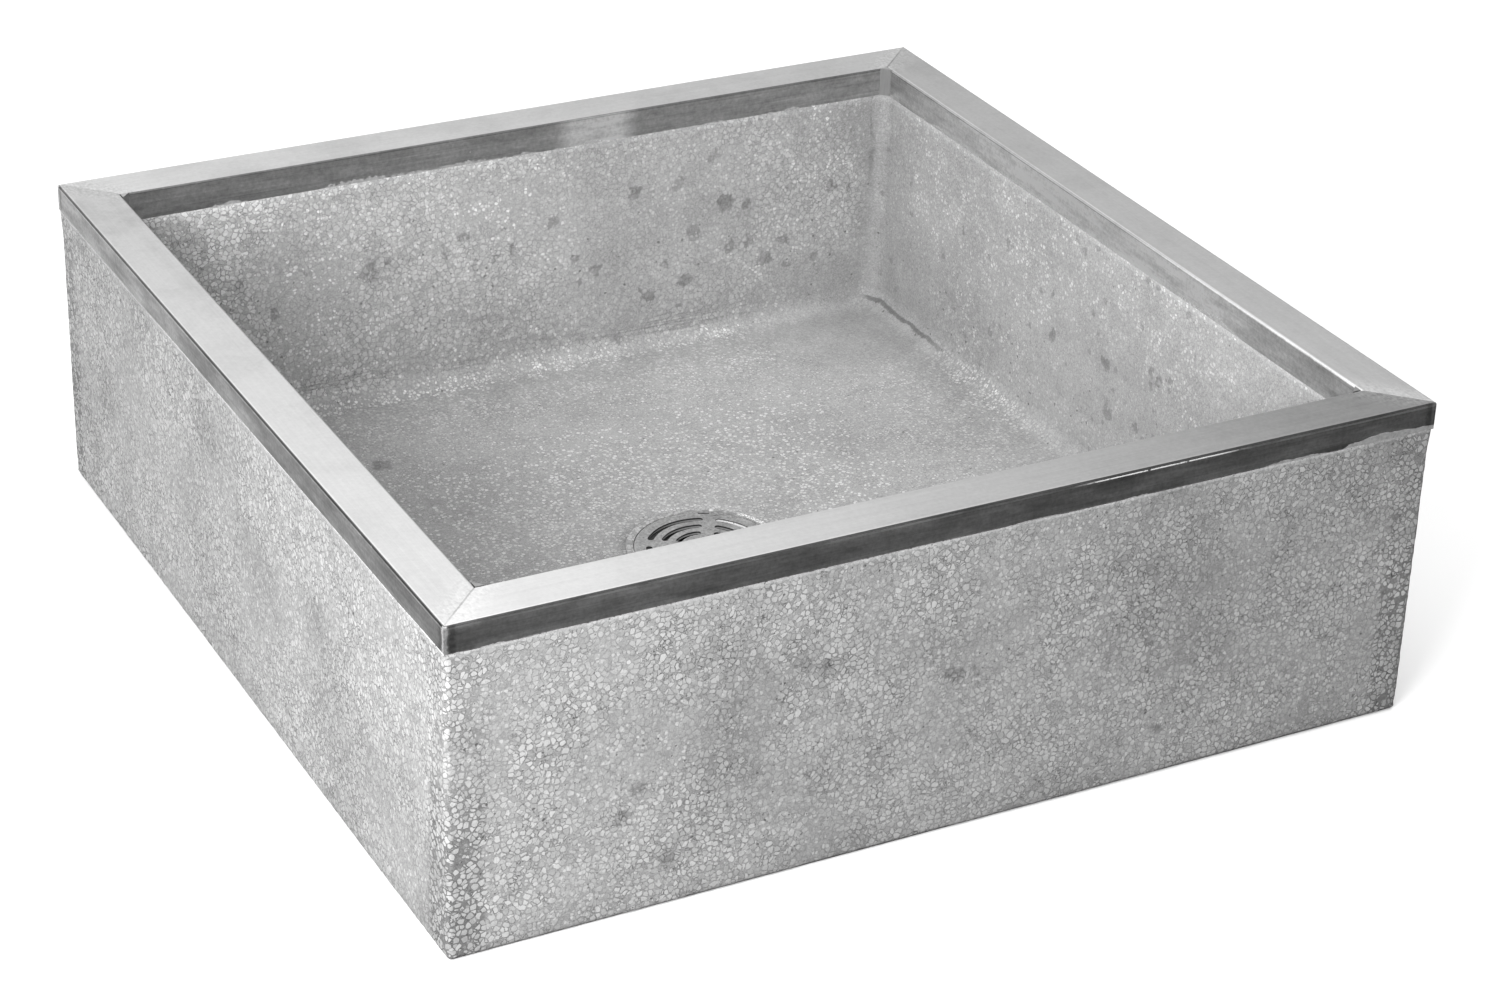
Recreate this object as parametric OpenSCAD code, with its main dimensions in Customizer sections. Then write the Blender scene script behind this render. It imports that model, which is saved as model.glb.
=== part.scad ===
// Square mop service basin: cast terrazzo, mitred stainless caps, cast-in drain.
// Millimetres. Origin at the centre of the base, +Z up, front side at -Y.

/* [Basin] */
// outside width, left to right
basin_w = 914.4; // [600:0.1:1220]
// outside depth, front to back
basin_d = 914.4; // [600:0.1:1220]
// height over the metal caps
basin_h = 304.8; // [250:0.1:400]
// wall thickness at the rim, which is also the width of the caps
rim_w = 46; // [38:0.5:60]
// how far each inner wall leans in from rim to floor
wall_lean = 5; // [0:0.5:12]
// floor height above the base at the walls
floor_edge = 46; // [44:0.5:60]
// fall of the floor from the walls to the drain
floor_fall = 4.5; // [1:0.5:8]
// radius of the cove where walls and floor meet
cove_r = 20; // [10:1:40]
// radius of the inside corners at the rim
corner_r = 14; // [8:1:30]
// eased radius of the outer corners and bottom edges
edge_ease = 5; // [2:0.5:12]

/* [Caps] */
// sheet thickness of the caps
cap_t = 1; // [0.7:0.1:2]
// depth of the outer leg
outer_leg = 25.4; // [15:0.1:40]
// depth of the inner leg
inner_leg = 29; // [15:0.5:45]
// outside radius of the folded edges
fold_r = 2.5; // [1.5:0.1:5]
// leg length of the folded filler in each inside corner
filler_leg = 8; // [5:0.5:14]

/* [Anchors and mesh] */
// anchor straps under each cap
anchors_per_side = 3; // [2:1:6]
// width of an anchor strap
anchor_w = 25; // [15:1:40]
// thickness of an anchor strap
anchor_t = 1.5; // [1:0.1:3]
// how far a strap reaches down into the wall
anchor_reach = 42; // [25:1:80]
// length of a strap's foot under the cap
anchor_foot = 14; // [8:1:26]
// length of a strap's bent tail
anchor_tail = 10; // [6:1:20]
// how far a strap's tail is bent out
anchor_spread = 9; // [4:1:16]
// distance from the inside corners to the end straps
anchor_end = 60; // [30:1:120]
// wire diameter of the mesh
wire_d = 1.6; // [1:0.1:4]
// spacing of the mesh wires
wire_pitch = 101.6; // [50:0.1:160]
// cover of terrazzo between the outer faces and the mesh
wire_cover = 21; // [12:1:30]
// height of the lowest wires above the base
mesh_low = 18; // [14:1:24]
// distance from the caps down to the wall mesh
mesh_drop = 24; // [18:1:60]
// how far a wall mesh ends short of the inside corners, and the floor mesh by half of it
mesh_end = 20; // [16:1:60]
// ring left clear of mesh round the drain hub
mesh_clear = 16; // [10:1:40]

/* [Drain] */
// outside diameter of the waste pipe the gasket takes
pipe_d = 88.9; // [60:0.1:115]
// wall of the rubber gasket
gasket_wall = 6.35; // [4:0.05:10]
// height of the gasket
gasket_h = 30; // [20:1:34]
// wall of the drain hub
hub_wall = 4.6; // [3:0.1:8]
// radius of the drain's top flange
flange_r = 74; // [60:0.5:90]
// thickness of the flange under the strainer
flange_t = 5; // [3.5:0.5:8]
// radius of the threaded bosses for the strainer screws
boss_r = 5; // [4:0.5:7]

/* [Strainer] */
// radius of the strainer plate
strainer_r = 66.5; // [55:0.5:80]
// thickness of the strainer plate
strainer_t = 3.2; // [2:0.1:5]
// width of the drain slots
slot_w = 6.2; // [4:0.1:8]
// mean radius of the innermost slots
slot_r0 = 13.5; // [10:0.1:16]
// spacing of the slot rings
slot_pitch = 13; // [10:0.1:16]
// rings of slots
slot_rings = 4; // [2:1:5]
// width of the solid spokes between the slots
spoke_w = 11.8; // [6:0.1:16]
// direction of the first spoke, counted from the right
spoke_turn = 59.5; // [0:0.5:89]
// radius of the two screws
screw_at = 61.3; // [50:0.1:75]
// direction of the first screw, counted from the right
screw_turn = 54; // [0:0.5:180]
// screw head diameter
screw_head = 7.8; // [6:0.1:12]
// screw shank diameter
screw_d = 4.8; // [4:0.1:6]
// screw length
screw_l = 16; // [10:1:24]

/* [Fits] */
// gap round the strainer in its seat
seat_gap = 0.6; // [0.2:0.1:1.5]
// gap round a screw in its holes
screw_gap = 0.3; // [0.2:0.05:0.6]
// gap under the strainer plate
plate_gap = 0.3; // [0.2:0.05:0.6]
// running gap between the gasket and the pipe stop
stop_gap = 1; // [0.5:0.1:3]

/* [Hidden] */
fine = 0.02;
half_w = basin_w / 2;
half_d = basin_d / 2;
in_w = half_w - rim_w;
in_d = half_d - rim_w;
under_cap = basin_h - cap_t;
outer_low = basin_h - outer_leg;
inner_low = basin_h - inner_leg;
wall_mid = rim_w / 2;
filler_back = filler_leg - 1.4 * cap_t;
drain_z = floor_edge - floor_fall;
gasket_r = pipe_d / 2 + gasket_wall;
hub_r = gasket_r + hub_wall;
stop_z = gasket_h + stop_gap + 1;
stop_t = 2.5;
slots_r = slot_r0 + (slot_rings - 1) * slot_pitch + slot_w / 2;
sump_r = min(slots_r + 0.4, screw_at - screw_d / 2 - screw_gap - 1.5);
seat_z = drain_z - strainer_t - plate_gap;
slot_quarter = 90;
stop_r = pipe_d / 2 - 3;
mesh_top = outer_low - mesh_drop;

// ---- shared shapes ----

// Turns a shape made for the front side to each of the four sides.
module on_side(turn) {
  rotate([0, 0, turn]) children();
}

// Section across a cap: an inverted U folded from sheet, outer leg at y = 0.
module cap_section() {
  difference() {
    cap_outline(0);
    cap_outline(cap_t);
    translate([-1, -1]) square([rim_w + 2, 1 + inner_low]);
    translate([-1, -1]) square([cap_t + 1, 1 + outer_low]);
  }
}

// The rim's outline, in by a given amount, with round folds along its top.
module cap_outline(inset) {
  r = fold_r - inset;
  translate([inset, 0]) square([rim_w - 2 * inset, basin_h - inset - r]);
  translate([inset + r, 0]) square([rim_w - 2 * inset - 2 * r, basin_h - inset]);
  for (x = [inset + r, rim_w - inset - r]) {
    translate([x, basin_h - inset - r]) circle(r = r, $fn = 24);
  }
}

// What one cap covers, seen from above: a long bar with both ends mitred.
module mitred_bar(long, deep) {
  translate([0, 0, inner_low - 10]) linear_extrude(height = inner_leg + 15) {
    polygon([[-long, -deep], [long, -deep], [long - rim_w, rim_w - deep], [rim_w - long, rim_w - deep]]);
  }
}

// One cap along a side, given half the side's length and its distance out.
module cap(long, deep) {
  color("silver") intersection() {
    translate([-long, -deep, 0]) rotate([90, 0, 90]) linear_extrude(height = 2 * long) cap_section();
    mitred_bar(long, deep);
  }
}

// Corner filler: a top web and a face plate folded across an inside corner.
module filler(sx, sy) {
  color("silver") translate([sx * in_w, sy * in_d, 0]) scale([sx, sy, 1]) {
    translate([0, 0, inner_low]) linear_extrude(height = inner_leg) {
      polygon([[0, -filler_leg], [0, -filler_back], [-filler_back, 0], [-filler_leg, 0]]);
    }
    translate([0, 0, under_cap]) linear_extrude(height = cap_t) {
      polygon([[0, 0], [0, -filler_leg], [-filler_leg, 0]]);
    }
  }
}

// Outline of a strap: a foot under the cap, a stem and a split, spread tail.
module anchor_strap() {
  linear_extrude(height = anchor_w, center = true) {
    polygon([[0, 0], [anchor_foot, 0], [anchor_foot, -anchor_t], [anchor_t, -anchor_t],
      [anchor_t, anchor_tail - anchor_reach], [anchor_spread, -anchor_reach],
      [anchor_spread - anchor_t * 4 / 3, -anchor_reach - anchor_t * 2 / 3],
      [0, anchor_tail - anchor_reach - anchor_t * 2 / 3]]);
  }
}

// The straps under one cap.
module anchor_row(long, deep) {
  span = 2 * (long - rim_w - anchor_end);
  step = span / (anchors_per_side - 1);
  for (i = [0 : anchors_per_side - 1]) {
    translate([i * step - span / 2, wall_mid - deep - anchor_foot / 2.8, under_cap]) {
      rotate([90, 0, 90]) anchor_strap();
    }
  }
}

// Straight wires at an even spacing, running along one direction.
module wires(count, long, step) {
  for (i = [0 : count - 1]) {
    translate([0, (i - (count - 1) / 2) * step, 0]) rotate([0, 90, 0]) {
      cylinder(r = wire_d / 2, h = long, center = true, $fn = 8);
    }
  }
}

// Welded mesh in one plane: along wires touching the top of the across wires.
module mesh_panel(long, wide, n_long, n_wide) {
  step_long = n_long > 1 ? (wide - wire_d) / (n_long - 1) : 0;
  step_wide = (long - wire_d) / (n_wide - 1);
  wires(n_long, long, step_long);
  translate([0, 0, fine - wire_d]) rotate([0, 0, 90]) wires(n_wide, wide, step_wide);
}

// Mesh in the wall of one side.
module wall_mesh(long, deep) {
  tall = mesh_top - mesh_low;
  n_tall = floor(tall / wire_pitch) + 1;
  n_wide = floor(long * 2 / wire_pitch);
  translate([0, wire_cover - deep, (mesh_top + mesh_low) / 2]) rotate([90, 0, 0]) {
    mesh_panel(2 * long - 2 * rim_w - 2 * mesh_end, tall, n_tall, n_wide);
  }
}

// ---- basin ----

// The outer block below the caps, with its corners and bottom edges eased.
module outer_block() {
  hull() {
    for (x = [-1, 1], y = [-1, 1]) {
      translate([x * (half_w - edge_ease), y * (half_d - edge_ease), 0]) {
        cylinder(r = edge_ease / 8, h = edge_ease, $fn = 24);
        translate([0, 0, edge_ease]) sphere(r = edge_ease, $fn = 24);
        translate([0, 0, edge_ease]) cylinder(r = edge_ease, h = outer_low - edge_ease, $fn = 24);
      }
    }
  }
}

// The top of one wall, filling its cap.
module cap_core(long, deep) {
  intersection() {
    translate([-long, -deep, 0]) rotate([90, 0, 90]) linear_extrude(height = 2 * long) cap_outline(cap_t);
    mitred_bar(long, deep);
  }
}

// What fills the space behind a corner filler.
module corner_core(sx, sy) {
  translate([sx * in_w, sy * in_d, inner_low - 1]) scale([sx, sy, 1]) {
    linear_extrude(height = under_cap - inner_low + 1) polygon([[0, 0], [0, -filler_back], [-filler_back, 0]]);
  }
}

// The bowl below the caps: leaning walls, round corners and a coved floor.
module bowl() {
  hull() {
    for (x = [-1, 1], y = [-1, 1]) {
      translate([x * (in_w - wall_lean - cove_r), y * (in_d - wall_lean - cove_r), floor_edge + cove_r]) {
        sphere(r = cove_r, $fn = 32);
      }
      translate([x * (in_w - corner_r), y * (in_d - corner_r), inner_low - 1]) {
        cylinder(r = corner_r, h = 1, $fn = 32);
      }
    }
  }
}

// The square mouth that the caps' inner legs line.
module mouth() {
  translate([0, 0, inner_low]) linear_extrude(height = inner_leg) {
    square([2 * (in_w + cap_t), 2 * (in_d + cap_t)], center = true);
  }
}

// The floor's fall from the cove to the drain.
module floor_dish() {
  hull() {
    translate([0, 0, floor_edge]) linear_extrude(height = 2) {
      square([2 * (in_w - wall_lean - cove_r), 2 * (in_d - wall_lean - cove_r)], center = true);
    }
    translate([0, 0, drain_z]) cylinder(r = flange_r, h = 1, $fn = 96);
  }
}

// The cast shell before the drain and the anchors are set in it.
module shell() {
  difference() {
    outer_block();
    bowl();
    mouth();
    floor_dish();
  }
  on_side(0) cap_core(half_w, half_d);
  on_side(90) cap_core(half_d, half_w);
  on_side(180) cap_core(half_w, half_d);
  on_side(270) cap_core(half_d, half_w);
  for (x = [-1, 1], y = [-1, 1]) {
    corner_core(x, y);
  }
}

module basin() {
  color("lightgray") difference() {
    shell();
    drain_solid();
    translate([0, 0, drain_z - fine]) cylinder(r = flange_r, h = 5, $fn = 96);
    translate([0, 0, -1]) cylinder(r = hub_r, h = 3, $fn = 96);
    on_side(0) anchor_row(half_w, half_d);
    on_side(90) anchor_row(half_d, half_w);
    on_side(180) anchor_row(half_w, half_d);
    on_side(270) anchor_row(half_d, half_w);
  }
}

// ---- drain ----

// Places a child at each of the two strainer screws.
module at_screws() {
  for (a = [0, 180]) {
    rotate([0, 0, screw_turn + a]) translate([screw_at, 0, 0]) children();
  }
}

// Outside of the drain casting: flange, seat cup, hub, key ring and screw bosses.
module drain_solid() {
  rotate_extrude($fn = 96) {
    polygon([
      [0, 1], [hub_r, 1], [hub_r, 12], [hub_r + 5, 14], [hub_r + 5, 18], [hub_r, 20],
      [hub_r, seat_z - 9], [strainer_r - 1, seat_z - flange_t],
      [strainer_r + 2.5, seat_z - flange_t + 1], [strainer_r + 2.5, drain_z - 3.2],
      [flange_r, drain_z - 2.6], [flange_r, drain_z], [0, drain_z]
    ]);
  }
  at_screws() translate([0, 0, seat_z - screw_l - 1]) cylinder(r = boss_r, h = screw_l, $fn = 32);
}

module drain_body() {
  color("darkgray") difference() {
    drain_solid();
    translate([0, 0, -1]) cylinder(r = gasket_r, h = stop_z + 1, $fn = 96);
    translate([0, 0, -1]) cylinder(r = stop_r, h = 60, $fn = 96);
    translate([0, 0, stop_z + stop_t]) {
      cylinder(r1 = stop_r, r2 = sump_r, h = seat_z - stop_z - stop_t + fine, $fn = 96);
    }
    translate([0, 0, seat_z]) cylinder(r = strainer_r + seat_gap, h = 20, $fn = 96);
    at_screws() translate([0, 0, seat_z - screw_l + 2]) {
      cylinder(r = screw_d / 2 + screw_gap, h = screw_l, $fn = 32);
    }
  }
}

// Rubber sleeve between the hub and the waste pipe, with seal rings outside.
module drain_gasket() {
  body_r = gasket_r - 1.2;
  color("dimgray") translate([0, 0, 1]) rotate_extrude($fn = 96) {
    polygon([
      [pipe_d / 2, 2], [pipe_d / 2 + 2, 0], [gasket_r, 0], [gasket_r, 3], [body_r, 4.2],
      [body_r, 9], [gasket_r, 10.2], [gasket_r, 12.2], [body_r, 13.4],
      [body_r, 18.2], [gasket_r, 19.4], [gasket_r, 21.4], [body_r, 22.6],
      [body_r, gasket_h - 2.4], [gasket_r, gasket_h - 1.2], [gasket_r, gasket_h], [pipe_d / 2, gasket_h]
    ]);
  }
}

// ---- strainer ----

// One curved slot with round ends, spanning both ways from the x axis.
module arc_slot(r, half_turn) {
  rotate([0, 0, -half_turn]) rotate_extrude(angle = 2 * half_turn, $fn = 96) {
    translate([r - slot_w / 2, -1]) square([slot_w, strainer_t + 2]);
  }
  for (s = [-1, 1]) {
    rotate([0, 0, s * half_turn]) translate([r, 0, -1]) cylinder(r = slot_w / 2, h = strainer_t + 2, $fn = 16);
  }
}

// Four slots round the plate, ended clear of the spokes.
module slot_ring(i) {
  r = slot_r0 + i * slot_pitch;
  web = i == 0 ? spoke_w - 2.6 : spoke_w;
  half_turn = slot_quarter / 2 - asin((web + slot_w) / 2 / r);
  for (q = [0 : 3]) {
    rotate([0, 0, spoke_turn + slot_quarter * (q + 0.5)]) arc_slot(r, half_turn);
  }
}

module strainer() {
  lip = 0.6;
  color("gainsboro") translate([0, 0, seat_z + plate_gap]) difference() {
    union() {
      cylinder(r = strainer_r, h = strainer_t - lip, $fn = 96);
      translate([0, 0, strainer_t - lip]) cylinder(r1 = strainer_r, r2 = strainer_r - lip, h = lip, $fn = 96);
    }
    for (i = [0 : slot_rings - 1]) {
      slot_ring(i);
    }
    at_screws() {
      translate([0, 0, -1]) cylinder(r = screw_d / 2 + screw_gap, h = strainer_t + 2, $fn = 32);
      translate([0, 0, strainer_t - 2.2]) {
        cylinder(r1 = screw_d / 2 + screw_gap, r2 = screw_head / 2 + screw_gap, h = 2.2 + fine, $fn = 32);
      }
    }
    pry_notch();
  }
}

// A short slot by the edge that lets a blade lift the plate.
module pry_notch() {
  rotate([0, 0, screw_turn + 11]) translate([strainer_r - 2.6, 0, strainer_t / 2]) {
    cube([1.6, 10.5, strainer_t + 2], center = true);
  }
}

// Countersunk screw with a cross recess, its head level with the plate.
module screw() {
  head_h = 2.1;
  top = drain_z - 0.05;
  color("silver") difference() {
    union() {
      translate([0, 0, top - head_h]) cylinder(r1 = screw_d / 2, r2 = screw_head / 2, h = head_h, $fn = 32);
      translate([0, 0, top - screw_l]) cylinder(r = screw_d / 2, h = screw_l - head_h + fine, $fn = 32);
    }
    for (a = [0, 90]) {
      rotate([0, 0, a]) translate([0, 0, top]) cube([5, 1.1, 2.6], center = true);
    }
  }
}

module strainer_screw_a() {
  rotate([0, 0, screw_turn]) translate([screw_at, 0, 0]) screw();
}

module strainer_screw_b() {
  rotate([0, 0, screw_turn + 180]) translate([screw_at, 0, 0]) screw();
}

// ---- the rest of the pieces ----

module cap_front() {
  cap(half_w, half_d);
}

module cap_right() {
  on_side(90) cap(half_d, half_w);
}

module cap_back() {
  on_side(180) cap(half_w, half_d);
}

module cap_left() {
  on_side(270) cap(half_d, half_w);
}

module filler_front_left() {
  filler(-1, -1);
}

module filler_front_right() {
  filler(1, -1);
}

module filler_back_right() {
  filler(1, 1);
}

module filler_back_left() {
  filler(-1, 1);
}

module anchors_front() {
  color("gray") anchor_row(half_w, half_d);
}

module anchors_right() {
  color("gray") on_side(90) anchor_row(half_d, half_w);
}

module anchors_back() {
  color("gray") on_side(180) anchor_row(half_w, half_d);
}

module anchors_left() {
  color("gray") on_side(270) anchor_row(half_d, half_w);
}

// The floor mesh, cut away round the drain.
module mesh_floor() {
  n = floor(basin_w / wire_pitch) - 1;
  long = basin_w - 2 * rim_w - mesh_end;
  wide = basin_d - 2 * rim_w - mesh_end;
  color("gray") difference() {
    translate([0, 0, mesh_low + 2.5 * wire_d]) mesh_panel(long, wide, n, n);
    cylinder(r = hub_r + mesh_clear, h = hub_r, $fn = 48);
  }
}

module mesh_front() {
  color("gray") wall_mesh(half_w, half_d);
}

module mesh_right() {
  color("gray") on_side(90) wall_mesh(half_d, half_w);
}

module mesh_back() {
  color("gray") on_side(180) wall_mesh(half_w, half_d);
}

module mesh_left() {
  color("gray") on_side(270) wall_mesh(half_d, half_w);
}

basin();
cap_front();
cap_right();
cap_back();
cap_left();
filler_front_left();
filler_front_right();
filler_back_right();
filler_back_left();
anchors_front();
anchors_right();
anchors_back();
anchors_left();
mesh_floor();
mesh_front();
mesh_right();
mesh_back();
mesh_left();
drain_body();
drain_gasket();
strainer();
strainer_screw_a();
strainer_screw_b();
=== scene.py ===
import bpy
import math
from types import SimpleNamespace
from mathutils import Matrix, Vector, noise


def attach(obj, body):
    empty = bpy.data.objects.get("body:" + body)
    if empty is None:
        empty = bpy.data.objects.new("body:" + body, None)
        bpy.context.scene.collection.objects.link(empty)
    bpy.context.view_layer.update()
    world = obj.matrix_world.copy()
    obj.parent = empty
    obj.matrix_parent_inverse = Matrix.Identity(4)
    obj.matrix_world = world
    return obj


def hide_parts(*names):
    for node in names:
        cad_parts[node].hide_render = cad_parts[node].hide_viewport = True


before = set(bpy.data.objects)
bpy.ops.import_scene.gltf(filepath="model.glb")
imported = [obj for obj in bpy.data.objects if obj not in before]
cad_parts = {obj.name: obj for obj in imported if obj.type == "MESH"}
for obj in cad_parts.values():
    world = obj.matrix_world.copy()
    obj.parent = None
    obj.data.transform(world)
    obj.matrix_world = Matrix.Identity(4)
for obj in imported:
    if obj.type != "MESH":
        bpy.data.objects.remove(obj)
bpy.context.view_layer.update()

# The basin's driving sizes in metres, as in the part's source.
HALF = 0.4572
RIM_TOP = 0.3048
RIM_WIDTH = 0.046
SHEET = 0.001
OUTER_LEG = 0.0254
INNER_LEG = 0.029
LEAN = 0.005
COVE = 0.020
MOUTH_CORNER = 0.014
FLOOR_EDGE = 0.046
FLOOR_DRAIN = 0.0415
EASE = 0.005
FLANGE_R = 0.074
HUB_R = 0.0554
STRAINER_R = 0.0665
INNER = HALF - RIM_WIDTH
OUTER_LOW = RIM_TOP - OUTER_LEG
INNER_LOW = RIM_TOP - INNER_LEG
UNDER_CAP = RIM_TOP - SHEET


# ---------------------------------------------------------------- node tools

def put(tree, kind, settings=None, **sockets):
    """Adds a node. A socket's value is a number, a colour or another node's output."""
    node = tree.nodes.new(kind)
    for name, value in (settings or {}).items():
        setattr(node, name, value)
    for name, value in sockets.items():
        key = int(name[1:]) if name[0] == "_" else name.replace("_", " ")
        wire(tree, node.inputs[key], value)
    return node


def wire(tree, socket, value):
    """Sets one socket, or links an output to it."""
    if isinstance(value, bpy.types.NodeSocket):
        tree.links.new(value, socket)
    else:
        socket.default_value = value


def maths(tree, operation, first, second=0.0, third=0.0, clamp=False):
    """One sum on two or three numbers."""
    settings = {"operation": operation, "use_clamp": clamp}
    return put(tree, "ShaderNodeMath", settings, _0=first, _1=second, _2=third).outputs[0]


def ramp(tree, value, low, high, out_low=0.0, out_high=1.0):
    """Eases a number from one range into another, and stops at its ends."""
    node = put(tree, "ShaderNodeMapRange", {"interpolation_type": "SMOOTHSTEP"}, Value=value,
               From_Min=low, From_Max=high, To_Min=out_low, To_Max=out_high)
    return node.outputs["Result"]


def blend(tree, factor, first, second):
    """Goes from one colour to another."""
    node = tree.nodes.new("ShaderNodeMix")
    node.data_type = "RGBA"
    for socket, value in zip((node.inputs[0], node.inputs[6], node.inputs[7]), (factor, first, second)):
        wire(tree, socket, value)
    return node.outputs[2]


def blend_number(tree, factor, first, second):
    """Goes from one number to another."""
    node = tree.nodes.new("ShaderNodeMix")
    for socket, value in zip((node.inputs[0], node.inputs[2], node.inputs[3]), (factor, first, second)):
        wire(tree, socket, value)
    return node.outputs[0]


def minus(tree, first, second):
    """One number less another."""
    return maths(tree, "SUBTRACT", first, second)


def plus(tree, base, value, amount):
    """A number with an amount of another added."""
    return maths(tree, "MULTIPLY_ADD", value, amount, base)


def stacked(tree, base, *layers):
    """A number with several others added, each given with its amount."""
    for value, amount in layers:
        base = plus(tree, base, value, amount)
    return base


def varied(tree, base, texture, amount, middle=0.5):
    """A number moved up and down by a texture about its middle."""
    return plus(tree, base, minus(tree, texture, middle), amount)


def times(tree, *values):
    """The product of several numbers."""
    total = values[0]
    for value in values[1:]:
        total = maths(tree, "MULTIPLY", total, value)
    return total


def most(tree, *values):
    """The largest of several numbers."""
    total = values[0]
    for value in values[1:]:
        total = maths(tree, "MAXIMUM", total, value)
    return total


def rest_of(tree, mask):
    """1 where a mask is 0, and 0 where it is 1."""
    return minus(tree, 1.0, mask)


def less(tree, mask, share):
    """1, less a share where a mask shows."""
    return plus(tree, 1.0, mask, -share)


def dimmed(tree, tone, mask, share):
    """A tone made darker by a share where a mask shows."""
    return times(tree, tone, less(tree, mask, share))


def fall(tree, value, low, high):
    """1 below a range, eased to 0 above it."""
    return ramp(tree, value, low, high, 1.0, 0.0)


def band(tree, value, low, full, fading, high):
    """1 in the middle of a range, eased to 0 at both of its ends."""
    return times(tree, ramp(tree, value, low, full), fall(tree, value, fading, high))


def grey(tone):
    """A plain neutral colour."""
    return (tone, tone, tone, 1.0)


def neutral(tree, tone):
    """A neutral colour whose tone changes over the surface."""
    return put(tree, "ShaderNodeCombineColor", None, Red=tone, Green=tone, Blue=tone).outputs[0]


def cloud(tree, place, scale, detail=3.0, rough=0.5):
    """Soft random patches, from 0 to 1."""
    node = put(tree, "ShaderNodeTexNoise", None, Vector=place, Scale=scale, Detail=detail, Roughness=rough)
    return node.outputs["Fac"]


def spaced(tree, place, scale):
    """Stretches the place that a texture is read at."""
    return put(tree, "ShaderNodeVectorMath", {"operation": "MULTIPLY"}, _0=place, _1=scale).outputs[0]


def bent(tree, place, wobble, amount):
    """A place moved a little way by a texture's colour."""
    return put(tree, "ShaderNodeVectorMath", {"operation": "MULTIPLY_ADD"},
               _0=wobble, _1=(amount, amount, amount), _2=place).outputs[0]


def measured(tree, operation, place, other=(0.0, 0.0, 0.0)):
    """One number from a place, such as its distance from another."""
    return put(tree, "ShaderNodeVectorMath", {"operation": operation}, _0=place, _1=other).outputs["Value"]


def new_group(name, takes, gives):
    """An empty node group with named float, colour or vector sockets."""
    tree = bpy.data.node_groups.new(name, "ShaderNodeTree")
    for label, kind, value in takes:
        socket = tree.interface.new_socket(label, in_out="INPUT", socket_type="NodeSocket" + kind)
        if value is not None:
            socket.default_value = value
    for label, kind in gives:
        tree.interface.new_socket(label, in_out="OUTPUT", socket_type="NodeSocket" + kind)
    return tree, tree.nodes.new("NodeGroupInput").outputs, tree.nodes.new("NodeGroupOutput").inputs


def use_group(tree, group, **sockets):
    """Places a node group in a material."""
    node = tree.nodes.new("ShaderNodeGroup")
    node.node_tree = group
    for name, value in sockets.items():
        wire(tree, node.inputs[name.replace("_", " ")], value)
    return node


def new_material(name, **constants):
    """A material with its Principled shader, whose plain values are set on the shader itself."""
    material = bpy.data.materials.new(name)
    material.use_nodes = True
    tree = material.node_tree
    tree.nodes.clear()
    shader = tree.nodes.new("ShaderNodeBsdfPrincipled")
    surface = tree.nodes.new("ShaderNodeOutputMaterial")
    tree.links.new(shader.outputs[0], surface.inputs["Surface"])
    for key, value in constants.items():
        shader.inputs[key.replace("_", " ")].default_value = value
    return material, tree, shader


def dress(tree, shader, tone, roughness, height, strength, reach):
    """Gives the shader a grey tone, a roughness, and a relief of some strength and depth."""
    wire(tree, shader.inputs["Base Color"], neutral(tree, tone))
    wire(tree, shader.inputs["Roughness"], roughness)
    bump = put(tree, "ShaderNodeBump", None, Strength=strength, Distance=reach, Height=height)
    wire(tree, shader.inputs["Normal"], bump.outputs[0])


def object_place(tree):
    """The place on the object, in metres in the part's own frame."""
    return tree.nodes.new("ShaderNodeTexCoord").outputs["Object"]


def placed(tree):
    """The place on the object with its axes, to which a material adds its own zones and textures."""
    place = object_place(tree)
    axes = put(tree, "ShaderNodeSeparateXYZ", None, Vector=place)
    return SimpleNamespace(place=place, x=axes.outputs[0], y=axes.outputs[1], z=axes.outputs[2])


def near_sides(tree, at):
    """Adds how far a place lies in from the nearest side and from the nearest upright edge."""
    sides = [minus(tree, HALF, maths(tree, "ABSOLUTE", axis)) for axis in (at.x, at.y)]
    at.corner = most(tree, *sides)
    at.depth = maths(tree, "MINIMUM", *sides)
    return sides


def voronoi_cells(tree, place, scale):
    """Distance from the nearest of many scattered points, and that point's random numbers."""
    cells = put(tree, "ShaderNodeTexVoronoi", {"feature": "F1"}, Vector=place, Scale=scale)
    numbers = put(tree, "ShaderNodeSeparateColor", None, Color=cells.outputs["Color"])
    return cells.outputs["Distance"], numbers.outputs


# ------------------------------------------------------- shared node groups

def chip_layer_group():
    """Rounded marble chips of one size: a mask of the chips, their thin outlines and a random tone for each."""
    tree, takes, gives = new_group(
        "marble_chips",
        [("Place", "Vector", None), ("Scale", "Float", 150.0), ("Gap", "Float", 0.08), ("Share", "Float", 0.8)],
        [("Chip", "Float"), ("Outline", "Float"), ("Tone", "Float")])
    edges = put(tree, "ShaderNodeTexVoronoi", {"feature": "DISTANCE_TO_EDGE"}, Vector=takes["Place"],
                Scale=takes["Scale"])
    far, cell = voronoi_cells(tree, takes["Place"], takes["Scale"])
    gap = plus(tree, takes["Gap"], cell[1], 0.07)
    rounded = plus(tree, edges.outputs["Distance"], far, -0.30)
    body = minus(tree, maths(tree, "ADD", rounded, 0.14), gap)
    shown = maths(tree, "LESS_THAN", cell[0], takes["Share"])
    line = fall(tree, maths(tree, "ABSOLUTE", maths(tree, "ADD", body, 0.015)), 0.010, 0.050)
    wire(tree, gives["Chip"], times(tree, ramp(tree, body, 0.0, 0.05), shown))
    wire(tree, gives["Outline"], times(tree, line, shown))
    wire(tree, gives["Tone"], cell[2])
    return tree


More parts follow.
